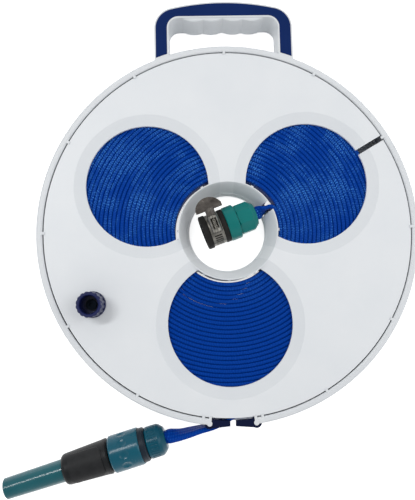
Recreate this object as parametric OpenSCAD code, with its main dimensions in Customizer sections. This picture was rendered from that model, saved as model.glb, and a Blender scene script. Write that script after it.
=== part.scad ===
// Flat hose reel: a slim round cassette that winds a lay-flat hose on its flat.
// It lies on its back: +Z points out of the front, +Y to the carrying handle.
// The reel is drawn about its spool axis and then set on the middle of its box.

/* [Frame] */
// Radius of the outer face of the frame ring
ring_r = 172.4; // [165:0.1:190]
// Depth of the frame from back to front
frame_d = 30; // [30:0.5:40]
// Width of the two lips of the ring, measured along the radius
lip_w = 5.8; // [5:0.1:8]
// Height of each lip
lip_h = 4; // [3:0.1:4.4]
// Radius of the outer edges of the lips
lip_round = 1.9; // [0.8:0.1:1.9]
// Radius of the inner edges of the lips
lip_edge = 1.7; // [0.5:0.1:1.9]
// Thickness of the ring wall between the lips
wall_t = 3; // [2:0.1:4]
// Number of small nibs that keep a disc in its lip
nib_count = 12; // [8:1:16]
// Width of one nib
nib_w = 2.4; // [1.5:0.1:4]

/* [Handle] */
// Radius of the crown of the handle, measured from the spool axis
handle_r = 215.2; // [208:0.1:240]
// Width of the handle over its legs
handle_w = 128.8; // [120:0.1:150]
// Width of the hand opening
hand_w = 102; // [95:0.5:110]
// Thickness of the grip under its crown
grip_h = 15.3; // [12:0.1:20]
// Radius of the outer corners
handle_corner = 20; // [15:0.5:26]
// Radius of the inner corners
hand_corner = 9.5; // [6:0.5:14]
// White border on both sides of the inlay
inlay_border = 1.5; // [1:0.1:2.5]
// Depth of the channel that holds the inlay
inlay_depth = 2; // [1:0.1:4]
// Wall of the hollow back of the handle
back_wall = 2.4; // [1.8:0.1:3]
// How far the finger ridges stand down from the roof
ridge_h = 3; // [1:0.1:4]
// Radius of the finger ridges
ridge_r = 23.5; // [16:0.5:30]
// Distance between the finger ridges on each side of the middle
ridge_step = 16; // [12:0.1:18]
// Distance between the two middle finger ridges
ridge_gap = 21; // [18:0.1:26]

/* [Hose exit] */
// Distance between the round posts at the two ends of the ring wall
exit_w = 41; // [38:0.5:50]
// Radius of each post
post_r = 2.3; // [2:0.1:3]
// Slot between the two jaws, through which the hose is slipped in edgewise
jaw_slot = 5; // [4:0.5:8]
// Height of the jaws
jaw_h = 4; // [2:0.1:4.2]
// Width of each jaw at the slot
jaw_end = 4.6; // [3:0.1:5]
// Thickness of a jaw where it hooks round its post
hook_t = 2.3; // [2:0.05:3]

/* [Spool] */
// Thickness of the disc plates
plate_t = 2; // [1.6:0.1:2.2]
// Distance of the front of the disc behind the front of the ring
disc_recess = 1.1; // [1:0.1:1.4]
// Width of the flat between the cones of the windows and the edge of the disc
win_edge = 15.3; // [6:0.1:30]
// Radius of the windows
win_r = 55.6; // [40:0.1:57]
// Width of the cone round each window
dish_w = 10.9; // [6:0.1:12]
// Depth of the cone at the edge of the window
dish_depth = 1.6; // [1:0.1:1.8]
// Height of the stiffening rim at the edge of each disc
rim_h = 3.7; // [2.5:0.1:3.8]
// Width of the slot in the front disc
slot_w = 5; // [4:0.5:8]
// Radius of the rim round the hub opening
hub_r = 45.2; // [40:0.1:50]
// Thickness of the drum that the hose winds on
drum_t = 2.1; // [1.6:0.1:2.5]
// Width of the gap through which the hose enters the hub
gap_w = 9; // [8.6:0.1:12]
// How far the funnel narrows from its rim to the back
funnel_in = 9.7; // [6:0.1:12]

/* [Hose] */
// Width of the hose laid flat
hose_w = 19; // [17:0.1:19.4]
// Thickness of the hose laid flat
hose_t = 3.4; // [2.6:0.1:3.5]
// Diameter of the hose where it ends round in a fitting
hose_d = 11.2; // [10:0.1:11.6]
// Distance from one turn to the next
pitch = 4.1; // [4:0.05:4.15]
// Turns on the spool
turns = 23.25; // [15:0.25:23.5]

/* [Crank knob] */
// Distance of the axis of the knob from the edge of the ring
knob_in = 35; // [25:0.1:60]
// Radius of the knob
knob_r = 11.3; // [10:0.1:13]
// Height of the knob
knob_h = 20.6; // [18:0.1:32]
// Radius of the hollow in the knob
cup_r = 8; // [7:0.1:8.4]
// Depth of the hollow in the knob
cup_depth = 15; // [12:0.5:16.5]
// Radius of the pin that the knob turns on
pin_r = 2.5; // [2:0.1:3.5]
// Number of flutes
flutes = 16; // [8:1:18]

/* [Tap connector] */
// Radius of the rubber boot
boot_r = 15.8; // [15.4:0.1:16.1]
// Radius of the socket in the boot, which is pushed over a tap
socket_r = 12.2; // [11.8:0.1:12.6]
// Length of the boot
boot_len = 22.4; // [21:0.1:23]
// Width of the clamp band
band_w = 11.8; // [10:0.1:12]
// Thickness of the clamp band
band_t = 0.7; // [0.5:0.1:1]
// Radius of the screw of the clamp
worm_r = 3.2; // [2.6:0.1:3.4]
// Width of the thumb key
key_w = 24.6; // [18:0.2:25]
// Distance of the end of the thumb key from the axis of the boot
key_top = 27.4; // [24:0.1:28]
// Height of the fan of the thumb key
key_h = 11.6; // [8:0.1:11.8]
// Length of the ring of the connector
tap_ring_len = 10.6; // [9:0.1:12]
// Length of the housing round the screw of the clamp
housing_len = 15; // [11:0.1:16]
// Length of the hose nut of the connector
tap_nut_len = 17.6; // [16:0.1:18]
// Width of the hose nut over its flats
tap_nut_af = 27; // [25:0.1:28]

/* [Nozzle] */
// Length of the tapered barrel in front of the nozzle body
barrel_len = 53.5; // [45:0.5:65]
// Radius of the barrel at the outlet
barrel_r = 9.05; // [8.6:0.05:9.4]
// Radius of the outlet
outlet_r = 6.9; // [5:0.1:7.4]
// Length of the nozzle body
body_len = 42; // [38:0.5:48]
// Radius of the nozzle body
body_r = 15.2; // [14.6:0.1:15.4]
// How much narrower the nozzle body is at its front
body_taper = 1.9; // [0:0.1:2.5]
// Height of the soft grips above the nozzle body
grip_t = 0.7; // [0.3:0.1:0.8]
// Width of each soft grip
grip_w = 25; // [16:0.5:27]
// Travel of the barrel from shut to full jet
barrel_travel = 6; // [4:0.5:7]

/* [Quick connector] */
// Length of the locking collar
collar_len = 27; // [25.5:0.1:30]
// Radius of the locking collar
collar_r = 16.2; // [16.2:0.1:18]
// Travel of the locking collar
collar_travel = 4; // [3:0.5:4]
// Length of the neck ring that shows behind the collar
neck_len = 5.5; // [5:0.1:8]
// Length of the hose nut
nut_len = 16.5; // [15:0.1:18]
// Radius of the hose nut
nut_r = 14; // [13:0.1:14.6]

/* [Clearances] */
// Gap between the edge of a disc and its lip
disc_gap = 1.1; // [0.8:0.1:1.4]
// Gap between a disc and the nibs that keep it
nib_gap = 0.3; // [0.2:0.05:0.5]
// Gap between pieces of one assembly that slip together
slip = 0.1; // [0.05:0.01:0.15]
// Gap of a shaft or sleeve that turns or slides
run = 0.08; // [0.04:0.01:0.1]
// Gap between the hose and what it lies against
lay = 0.3; // [0.2:0.05:0.4]

/* [Hidden] */
$fn = 96;
e = 0.01;

// Frame
hand_top = handle_r - grip_h;
lip_r = ring_r - lip_w;
wall_r = ring_r - wall_t;
post = [exit_w / 2, -sqrt(pow(ring_r - wall_t / 2, 2) - pow(exit_w / 2, 2))];
hook_r = post_r + slip / 2 + hook_t;
box_low = post[1] - hook_r;
mid_y = (handle_r + box_low) / 2;
pair_angles = [asin(exit_w / 2 / ring_r), asin(exit_w / 2 / ring_r) + 2.1];

// Spool
disc_r = lip_r - disc_gap;
disc_top = frame_d - disc_recess;
disc_low = disc_recess;
plate_low = disc_top - plate_t;
win_c = disc_r - win_edge - dish_w - win_r;
bore_r = hub_r - funnel_in;
knob_at = ring_r - knob_in;
drum_r = hub_r - 1.1;
drum_in = drum_r - drum_t;
drum_top = mix(disc_low, plate_low, 0.66);
gap_angle = 30;
win_angles = [30, 150, 270];
knob_angle = 207.9;
knob_pos = [knob_at * cos(knob_angle), knob_at * sin(knob_angle)];
knob_z = disc_top + nib_gap;
cup_z = knob_z + knob_h - cup_depth;

// Hose
steps = 24;
hose_z = frame_d / 2;
coil_r = (drum_r + lay + hose_t / 2) / cos(180 / steps);
bend_r = hose_t / 2 + 3.5;
lead = asin(bend_r / (coil_r - bend_r));

// Tap connector, along its own axis from the mouth of the boot
tap_at = [-22.3, -1.4];
tap_angle = 20;
tap_ring_r = boot_r + 0.3;
tap_z = tap_ring_r + 0.2;
boot_rim = 5.6;
groove_r = boot_r - 1.6;
band_s = boot_rim + slip;
tap_ring_s = boot_len + slip;
tap_nut_s = tap_ring_s + tap_ring_len + 0.4;
tap_end = tap_nut_s + tap_nut_len;
sleeve_r = 9.6;
recess = 3.3;
tap_seat = tap_end - recess;
band_r = groove_r + slip / 2;
worm_x = band_r + band_t + worm_r + 0.2;
worm_s = band_s + band_w / 2;
house_v = 9.5;
house_low = house_v - housing_len;
key_v = house_v + 1.2;

// Nozzle and quick connector, along their own axis from the outlet
noz_at = [-200, -223.5];
noz_angle = 16;
noz_z = collar_r + 0.1;
s_body = barrel_len;
s_body_end = s_body + body_len;
s_collar = s_body_end + 1;
s_collar_end = s_collar + collar_len;
s_neck_end = s_collar_end + neck_len;
s_nut = s_neck_end + 0.5;
s_nut_end = s_nut + nut_len;
s_seat = s_nut_end - recess;
s_web = s_body + 26;
s_shoulder = s_collar_end - 6;
tube_r = 9.3;
nipple_r = 7.8;
nipple_len = 22;
claw_s = 3.5;
claw_w = 3;
stem_r = 11;
neck_r = collar_r - 1.3;
thread_r = 10.2;
water_r = 4.5;
hose_bore = hose_d / 2 + 0.25;

// The free end of the hose lies on these points, seen from the front
TAIL_ROUTE = [
    [96, -110], [82, -121], [66, -130], [52, -138], [37, -145], [22, -153.5], [8, -161.5], [0, -166],
    [-6, -169.6], [-11, -172.2], [-16, -174.3], [-21, -175.7], [-28, -176.9], [-38, -179.2], [-47, -181.2]
];
TAIL_FLAT = 10;

// Winding
function polar(r, a) = [r * cos(a), r * sin(a)];
function mix(a, b, t) = a + (b - a) * t;
function ease(t) = t * t * (3 - 2 * t);
function turn2(p, a) = [p[0] * cos(a) - p[1] * sin(a), p[0] * sin(a) + p[1] * cos(a)];
function unit(v) = v / norm(v);

// A ring of the hose with half width a along Z and half thickness b across the run,
// a hexagon where it is round at t = 0 and a flat strip at t = 1
function ring6(c, n, a, b, t) = let (u = mix(0.5, 0.86, t), v = mix(0.866, 1, t)) [
    for (p = [[1, 0], [u, v], [-u, v], [-1, 0], [-u, -v], [u, -v]]) c + [0, 0, a * p[0]] + n * b * p[1]
];
function ring12(c, n, a, b) = [
    for (k = [0:11]) c + [0, 0, a * cos(k * 30)] + n * b * sin(k * 30)
];

// The path of the winding, from the seat in the connector out to the last turn
coil_n = round(steps * turns);
tap_dir = polar(1, tap_angle);
arc_c = (coil_r - bend_r) * [cos(lead), -sin(lead)];
inlet_pts = concat(
    [for (s = [tap_seat, tap_end, tap_end + 3.2]) tap_at + tap_dir * s],
    [for (x = [drum_in - 4, arc_c[0] + e]) turn2([x, arc_c[1] + bend_r], gap_angle)],
    [for (a = [72, 48, 24]) turn2(arc_c + polar(bend_r, a - lead * (1 - a / 90)), gap_angle)]
);
coil_pts = concat(
    inlet_pts,
    [for (i = [0:coil_n]) polar(coil_r + pitch * i / steps, gap_angle - lead - i * 360 / steps)]
);
inlet_n = len(inlet_pts);
function coil_t(i) = i >= inlet_n ? 1 : i < 2 ? 0 : ease((i - 1) / (inlet_n - 2));
function coil_c(i) = let (t = coil_t(i)) [coil_pts[i][0], coil_pts[i][1], mix(tap_z, hose_z, t)];
function run_dir(pts, i) = unit(
    i == 0 ? pts[1] - pts[0]
    : i == len(pts) - 1 ? pts[i] - pts[i - 1]
    : unit(pts[i + 1] - pts[i]) + unit(pts[i] - pts[i - 1])
);
function side(d) = [-d[1], d[0], 0];

// Measured on the ring centres: the least distance from a turn to any later one
coil_least = min([
    for (i = [0:coil_n - steps + 3]) let (p = coil_pts[inlet_n + i])
        min([for (j = [i + steps - 3:min(coil_n, i + steps + 3)]) norm(coil_pts[inlet_n + j] - p)])
]) * cos(180 / steps) - hose_t;
echo(hose_least_gap_to_itself = coil_least);

module sweep(rings, sides) {
    n = len(rings);
    pts = [for (r = rings) for (p = r) p];
    walls = [
        for (i = [0:n - 2]) for (k = [0:sides - 1])
            let (a = i * sides + k, b = i * sides + (k + 1) % sides)
                each [[a, b, b + sides], [a, b + sides, a + sides]]
    ];
    caps = concat(
        [for (k = [1:sides - 2]) [0, k + 1, k]],
        [for (k = [1:sides - 2]) [(n - 1) * sides, (n - 1) * sides + k, (n - 1) * sides + k + 1]]
    );
    polyhedron(points = pts, faces = [for (f = concat(walls, caps)) [f[0], f[2], f[1]]], convexity = 20);
}

// Places and helpers
module placed() {
    translate([0, -mid_y, 0]) children();
}

module along_tap() {
    translate([tap_at[0], tap_at[1], tap_z]) rotate([0, 0, tap_angle]) rotate([0, 90, 0]) children();
}

module along_nozzle() {
    translate([noz_at[0], noz_at[1], noz_z]) rotate([0, 0, noz_angle]) rotate([0, 90, 0]) children();
}

module ring_of(count) {
    for (i = [0:count - 1]) rotate([0, 0, i * 360 / count]) children();
}

module turned(points) {
    rotate_extrude() polygon(points);
}

module tube(r_out, r_in, z0, z1) {
    difference() {
        translate([0, 0, z0]) cylinder(r = r_out, h = z1 - z0);
        translate([0, 0, z0 - 1]) cylinder(r = r_in, h = z1 - z0 + 2);
    }
}

module sector(r0, r1, s0, s1, a) {
    rotate([0, 0, -a / 2]) rotate_extrude(angle = a)
        translate([r0, s0]) square([r1 - r0, s1 - s0]);
}

// Section of a lip, softly rounded on its outside
module lip_profile() {
    edge = min(lip_edge, lip_h / 2 - 0.1);
    r = min(lip_round, lip_h / 2 - 0.1);
    translate([lip_r + edge, 0]) square([lip_w - edge - r, lip_h]);
    translate([lip_r, edge]) square([edge + 1, lip_h - 2 * edge]);
    translate([ring_r - r - 1, r]) square([r + 1, lip_h - 2 * r]);
    for (y = [edge, lip_h - edge]) translate([lip_r + edge, y]) circle(edge, $fn = 32);
    for (y = [r, lip_h - r]) translate([ring_r - r, y]) circle(r, $fn = 32);
}

// Outline of the handle: a crown about the spool axis on two upright legs
module handle_outline(inset) {
    w = handle_w / 2;
    c = [w - handle_corner, sqrt(pow(handle_r - handle_corner, 2) - pow(w - handle_corner, 2))];
    intersection() {
        circle(handle_r - inset, $fn = 240);
        translate([-w + inset, 0]) square([2 * (w - inset), handle_r + 5]);
        union() {
            polygon([[0, 0], c * 2, [-c[0], c[1]] * 2]);
            translate([-w, 0]) square([2 * w, c[1]]);
            for (s = [-1, 1]) translate([s * c[0], c[1]]) circle(handle_corner - inset + 2 * e);
        }
    }
}

module hand_outline(grow) {
    w = hand_w / 2 + grow;
    r = hand_corner + grow;
    top = hand_top + grow;
    translate([-w, 0]) square([2 * w, top - r]);
    translate([-w + r, 0]) square([2 * (w - r), top]);
    for (s = [-1, 1]) translate([s * (w - r), top - r]) circle(r);
}

module handle_band(border) {
    difference() {
        handle_outline(border);
        hand_outline(border);
        circle(ring_r + border / 2, $fn = 240);
    }
}

module nib(z0, z1, r_out) {
    translate([disc_r - 1.1, -nib_w / 2, z0]) cube([r_out - disc_r + 1.1, nib_w, z1 - z0]);
}

// Frame
module ring_frame() {
    color("#e2e5e8") {
        difference() {
            union() {
                rotate_extrude($fn = 240) {
                    lip_profile();
                    translate([0, frame_d - lip_h]) lip_profile();
                    translate([wall_r, lip_h / 2]) square([wall_t, frame_d - lip_h]);
                }
                difference() {
                    linear_extrude(frame_d) difference() {
                        handle_outline(0);
                        hand_outline(0);
                        circle(wall_r + 1, $fn = 240);
                    }
                    translate([0, 0, frame_d - inlay_depth])
                        linear_extrude(inlay_depth + 1) handle_band(inlay_border);
                    translate([0, 0, -1]) linear_extrude(frame_d - inlay_depth - back_wall + 1) difference() {
                        handle_band(back_wall);
                        for (k = [-2:2]) translate([k * hand_w / 6 - 0.9, hand_top - 1]) square([1.8, grip_h + 2]);
                        for (y = [hand_top - 18, hand_top - 3], s = [-1, 1])
                            translate([s * (handle_w + hand_w) / 4 - 10, y]) square([20, 1.8]);
                    }
                }
                finger_ridges();
            }
            translate([-exit_w / 2, -ring_r - 5, lip_h]) cube([exit_w, 25, frame_d]);
        }
        for (s = [-1, 1]) translate([s * post[0], post[1], lip_h / 2]) cylinder(r = post_r, h = frame_d - lip_h / 2);
        for (i = [0:nib_count - 1]) rotate([0, 0, 90 + i * 360 / nib_count]) {
            nib(0.1, disc_low - nib_gap, lip_r + lip_edge + 0.2);
            if (abs(i * 360 / nib_count - 180) > 10)
                nib(disc_top + nib_gap, frame_d - 0.1, lip_r + lip_edge + 0.2);
        }
        for (a = pair_angles, s = [-1, 1]) rotate([0, 0, 270 + s * a])
            nib(disc_top + nib_gap, frame_d - 0.1, post_r + ring_r - wall_t / 2 - 1.6);
    }
}

// Four soft ridges under the grip
module finger_ridges() {
    for (s = [-1, 1], x = [ridge_gap / 2, ridge_gap / 2 + ridge_step])
        translate([s * x, hand_top - ridge_h + ridge_r, 1]) difference() {
            union() {
                cylinder(r1 = ridge_r - 0.8, r2 = ridge_r, h = 0.8);
                translate([0, 0, 0.8]) cylinder(r = ridge_r, h = frame_d - 3.6);
                translate([0, 0, frame_d - 2.8]) cylinder(r1 = ridge_r, r2 = ridge_r - 0.8, h = 0.8);
            }
            translate([-ridge_r - 1, ridge_h - ridge_r + 0.5, -1]) cube([2 * ridge_r + 2, 2 * ridge_r, frame_d]);
        }
}

module handle_inlay() {
    color("#1b2a64") translate([0, 0, frame_d - inlay_depth])
        linear_extrude(inlay_depth + 0.2) handle_band(inlay_border + slip / 2);
}

// A jaw widens from the slot to its post and hooks round it
module exit_jaw(s) {
    low = -ring_r;
    color("#1c2440") translate([0, 0, disc_top + nib_gap - slip - jaw_h]) mirror([s < 0 ? 1 : 0, 0, 0]) difference() {
        union() {
            linear_extrude(jaw_h) polygon([
                [jaw_slot / 2, low], [jaw_slot / 2, low + jaw_end], [post[0] - 1, post[1] + hook_r - 1.6],
                [post[0] - 1, post[1] - hook_r + 0.4]
            ]);
            translate([post[0], post[1], 0]) cylinder(r = hook_r, h = jaw_h);
        }
        translate([post[0], post[1], -1]) cylinder(r = post_r + slip / 2, h = jaw_h + 2);
        translate([0, 0, -1]) cylinder(r = disc_r + 0.8, h = jaw_h + 2, $fn = 240);
        intersection() {
            translate([0, 0, -1]) cylinder(r = ring_r + slip, h = jaw_h + 2, $fn = 240);
            translate([post[0], -ring_r - 5, -2]) cube([20, 20, jaw_h + 4]);
        }
    }
}

module exit_jaw_left() {
    exit_jaw(-1);
}

module exit_jaw_right() {
    exit_jaw(1);
}

// Spool discs, drawn with their outer face at zero
module disc_blank() {
    translate([0, 0, -plate_t]) cylinder(r = disc_r, h = plate_t, $fn = 240);
    translate([0, 0, -rim_h]) difference() {
        cylinder(r = disc_r, h = rim_h, $fn = 240);
        translate([0, 0, -1]) cylinder(r = disc_r - 2, h = rim_h + 2, $fn = 240);
    }
    for (a = win_angles) rotate([0, 0, a]) translate([win_c, 0, -plate_t - dish_depth])
        cylinder(r1 = win_r + 0.8, r2 = win_r + dish_w + 0.8, h = dish_depth);
}

module window_cuts() {
    for (a = win_angles) difference() {
        rotate([0, 0, a]) translate([win_c, 0, 0]) {
            translate([0, 0, -dish_depth]) cylinder(r1 = win_r, r2 = win_r + dish_w, h = dish_depth);
            cylinder(r = win_r + dish_w, h = 3);
            translate([0, 0, -9]) cylinder(r = win_r, h = 12);
        }
        translate([0, 0, -10]) cylinder(r = hub_r, h = 15);
    }
}

module disc_with_windows() {
    difference() {
        disc_blank();
        translate([0, 0, -plate_t - 10]) cylinder(r = hub_r + lay, h = 10);
        translate([0, 0, -plate_t - 10]) cylinder(r = hub_r - e, h = 20);
        window_cuts();
    }
}

// Funnel of the hub: a long cone that stands on the drum, a small step and a short cone
// round the back opening
module funnel() {
    z0 = disc_low + 2.9;
    z1 = mix(z0, plate_low, 0.27);
    r1 = mix(bore_r, drum_in, 0.3);
    turned([
        [hub_r, disc_top], [hub_r - 0.9, disc_top], [drum_r - 0.9, plate_low], [r1, z1], [r1 - 0.6, z1 - 0.5],
        [bore_r, z0], [bore_r + 1.5, z0], [r1 + 0.9, z1 - 0.9],
        [drum_in - slip, mix(z1, drum_top, 0.8)], [drum_in - slip, drum_top], [drum_r, drum_top],
        [drum_r, plate_low], [hub_r, plate_low]
    ]);
    for (i = [1:11]) rotate([0, 0, gap_angle + i * 30])
        translate([drum_r - 0.5, -nib_w / 2, plate_low - 1.5]) cube([2.9, nib_w, 1.5 + e]);
}

module hose_gap(z0) {
    rotate([0, 0, gap_angle]) translate([bore_r - 4, -gap_w / 2, z0]) cube([16, gap_w, frame_d]);
}

module front_flange() {
    color("#e2e5e8") difference() {
        union() {
            translate([0, 0, disc_top]) disc_with_windows();
            funnel();
            translate([knob_pos[0], knob_pos[1], disc_top - 3.6]) cylinder(r = knob_r - 1, h = 3.6);
        }
        hose_gap(disc_low + 2);
        rotate([0, 0, gap_angle]) translate([win_c, -slot_w / 2, disc_top - 10])
            cube([disc_r, slot_w, 20]);
        translate([knob_pos[0], knob_pos[1], 0]) cylinder(r = pin_r, h = frame_d * 2);
        translate([knob_pos[0], knob_pos[1], disc_top - 4.6]) cylinder(r = pin_r + 2, h = 2);
    }
}

module rear_flange() {
    color("#e2e5e8") {
        translate([0, 0, disc_low]) mirror([0, 0, 1]) disc_with_windows();
        tube(hub_r, drum_in - 2, disc_low, disc_low + plate_t);
        difference() {
            tube(drum_in - slip, drum_in - 2, disc_low + plate_t - e, disc_low + plate_t + 1.4);
            hose_gap(disc_low + plate_t + 0.2);
        }
    }
}

module hub_drum() {
    color("#cdd6da") {
        difference() {
            tube(drum_r, drum_in, disc_low + plate_t, drum_top);
            hose_gap(hose_z - hose_w / 2 - lay);
        }
    }
}

module knob_pin() {
    color("#9a9ca0") translate([knob_pos[0], knob_pos[1], 0]) {
        translate([0, 0, disc_top - 3.6]) cylinder(r = pin_r + 2, h = 1);
        translate([0, 0, disc_top - 2.6 - e]) cylinder(r = pin_r, h = cup_z - disc_top + 2.6 + e + nib_gap);
        translate([0, 0, cup_z + nib_gap]) difference() {
            cylinder(r = pin_r + 2.2, h = 2.6);
            translate([0, 0, 1.2]) cylinder(r = 1.8, h = 3, $fn = 6);
        }
    }
}

module crank_knob() {
    color("#191e5a") translate([knob_pos[0], knob_pos[1], knob_z]) difference() {
        turned([
            [pin_r + run, 0], [knob_r - 0.6, 0], [knob_r + 0.4, 1], [knob_r + 0.4, 2.5], [knob_r - 0.4, 5],
            [knob_r, knob_h - 1.6], [knob_r - 0.5, knob_h - 0.4], [knob_r - 1.2, knob_h],
            [cup_r + 0.6, knob_h], [cup_r, knob_h - 0.8], [cup_r - 0.3, knob_h - cup_depth],
            [pin_r + run, knob_h - cup_depth]
        ]);
        ring_of(flutes) translate([knob_r + 0.9, 0, 3.4]) cylinder(r = 1.7, h = knob_h, $fn = 24);
    }
}

// Hose on the spool: one unbroken tube from the connector through every turn
module hose_coil() {
    n = len(coil_pts);
    color("#0a3ca0") sweep([
        for (i = [0:n - 1]) let (t = coil_t(i))
            ring6(coil_c(i), side(run_dir(coil_pts, i)),
                mix(hose_d / 2, hose_w / 2, t), mix(hose_d / 2, hose_t / 2, t), t)
    ], 6);
}

// Free end of the hose, flat up to the exit and round in the nut
module hose_tail() {
    end = noz_at + polar(s_seat, noz_angle);
    pts = concat(TAIL_ROUTE, [noz_at + polar(s_nut_end + 4, noz_angle), noz_at + polar(s_nut_end, noz_angle), end]);
    n = len(pts);
    color("#0a3ca0") sweep([
        for (i = [0:n - 1]) let (t = i <= TAIL_FLAT ? 0 : ease(min(1, (i - TAIL_FLAT) / 3)))
            ring12([pts[i][0], pts[i][1], mix(hose_z, noz_z, t)], side(run_dir(pts, i)),
                mix(hose_w / 2, hose_d / 2, t), mix(hose_t / 2, hose_d / 2, t))
    ], 12);
}

// Tap connector
module tap_boot() {
    color("#23201e") along_tap() turned([
        [socket_r, 0], [boot_r - 0.8, 0], [boot_r, 0.8], [boot_r, boot_rim - 0.5], [boot_r - 0.5, boot_rim],
        [groove_r, boot_rim], [groove_r, band_s + band_w + slip], [boot_r - 0.6, band_s + band_w + slip],
        [boot_r - 0.2, band_s + band_w + 0.8], [boot_r - 0.2, boot_len - 0.6], [boot_r - 0.8, boot_len],
        [socket_r - 1.1, boot_len], [socket_r - 1.1, boot_len - 6.4], [socket_r, boot_len - 7.4]
    ]);
}

module tap_body() {
    color("#1e7d73") along_tap() turned([
        [5, boot_len - 6.3], [socket_r - 1.2, boot_len - 6.3], [socket_r - 1.2, tap_ring_s],
        [tap_ring_r - 0.7, tap_ring_s], [tap_ring_r, tap_ring_s + 0.8],
        [tap_ring_r, tap_ring_s + tap_ring_len - 0.8], [tap_ring_r - 0.7, tap_ring_s + tap_ring_len],
        [sleeve_r, tap_ring_s + tap_ring_len], [sleeve_r, tap_nut_s + 9.4], [5, tap_nut_s + 9.4]
    ]);
}

module tap_nut() {
    color("#1f7f72") along_tap() difference() {
        intersection() {
            translate([0, 0, tap_nut_s]) rotate([0, 0, 22.5])
                cylinder(r = tap_nut_af / 2 / cos(22.5), h = tap_nut_len, $fn = 8);
            turned([
                [0, tap_nut_s], [tap_nut_af / 2, tap_nut_s], [tap_nut_af / 2 + 1, tap_nut_s + 1],
                [tap_nut_af / 2 + 1, tap_end - 5.4], [tap_nut_af / 2 - 3.6, tap_end], [0, tap_end]
            ]);
        }
        translate([0, 0, tap_nut_s - 1]) cylinder(r = sleeve_r + slip, h = 10.8);
        translate([0, 0, tap_nut_s]) cylinder(r = 4.6, h = tap_nut_len);
        translate([0, 0, tap_seat]) cylinder(r = hose_bore, h = recess + 1);
    }
}

module clamp_band() {
    color("#8f8d85") along_tap() difference() {
        tube(band_r + band_t, band_r, band_s, band_s + band_w);
        for (i = [0:9]) rotate([0, 0, -148 + i * 9])
            translate([band_r - 1, -0.6, band_s + 2.4]) cube([4, 1.2, band_w - 4.8]);
    }
}

// Housing of the clamp screw, open to the screw in a window on its top
module clamp_housing() {
    r = worm_r + 1.6;
    color("#a3a198") along_tap() rotate([0, 0, 180]) difference() {
        union() {
            translate([worm_x, -house_v, worm_s]) rotate([-90, 0, 0]) cylinder(r = r, h = housing_len);
            translate([band_r - 4, -house_v, worm_s - r]) cube([worm_x - band_r + 4, housing_len, 2 * r]);
            translate([band_r - 1, house_low * -1 - 4.8, band_s + 0.5]) cube([2.2, 4, band_w - 1]);
        }
        translate([0, 0, band_s - 1]) cylinder(r = band_r + band_t, h = band_w + 2);
        translate([worm_x, -house_v - 1, worm_s]) rotate([-90, 0, 0]) cylinder(r = worm_r + run, h = housing_len + 2);
        translate([worm_x + 1.2, -house_v + 2, worm_s - 2.6]) cube([r, housing_len - 5, 5.2]);
    }
}

module worm_screw() {
    color("#b5b4ad") along_tap() translate([-worm_x, 0, worm_s]) rotate([-90, 0, 0]) turned([
        [0, house_low - 0.4], [worm_r - 0.6, house_low - 0.4],
        each [for (k = [0:9]) let (z = house_low + 0.4 + k * 1.45) each [
            [worm_r - 0.6, z], [worm_r, z + 0.4], [worm_r, z + 0.8], [worm_r - 0.6, z + 1.2]]],
        [worm_r - 0.6, house_v + 0.4], [2, house_v + 0.4], [2, key_v + 4.4], [0, key_v + 4.4]
    ]);
}

// Thumb key on the end of the clamp screw, high enough to turn past the boot
module thumb_key() {
    fan_r = key_w / 2 + 0.9;
    fan_v = key_top - key_h;
    color("#4a4644") along_tap() translate([-worm_x, 0, worm_s]) difference() {
        union() {
            rotate([0, -90, 0]) translate([0, 0, -1.2]) linear_extrude(2.4) intersection() {
                translate([0, key_top - fan_r]) circle(fan_r);
                translate([-key_w / 2, fan_v]) square([key_w, key_h]);
            }
            rotate([-90, 0, 0]) translate([0, 0, key_v - 0.4]) cylinder(r = 4.3, h = fan_v - key_v + 1.6);
        }
        rotate([-90, 0, 0]) cylinder(r = 2 + slip / 2, h = key_v + 4.45);
    }
}

// Nozzle
module nozzle_barrel() {
    color("#1c696f") along_nozzle() turned([
        [outlet_r, 0.6], [outlet_r + 0.6, 0], [barrel_r - 0.8, 0], [barrel_r, 0.8],
        [barrel_r + 0.8, s_body - 0.4], [tube_r, s_body - 0.4], [tube_r, s_body + 17.9],
        [tube_r - 1, s_body + 17.9], [tube_r - 1, s_body + 19.1], [tube_r, s_body + 19.1],
        [tube_r, s_body + 23.6], [tube_r - 1.7, s_body + 23.6], [tube_r - 1.7, s_body - 17],
        [4, s_body - 20], [2.6, s_body - 22], [2.6, s_body - 25], [outlet_r - 1, s_body - 29]
    ]);
}

module barrel_seal() {
    color("#161616") along_nozzle() translate([0, 0, s_body + 18.5])
        rotate_extrude() translate([tube_r - 0.5, 0]) circle(0.46, $fn = 24);
}

function body_at(s) = body_r - body_taper * (s_body_end - 4.6 - s) / (body_len - 4.6);

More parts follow.
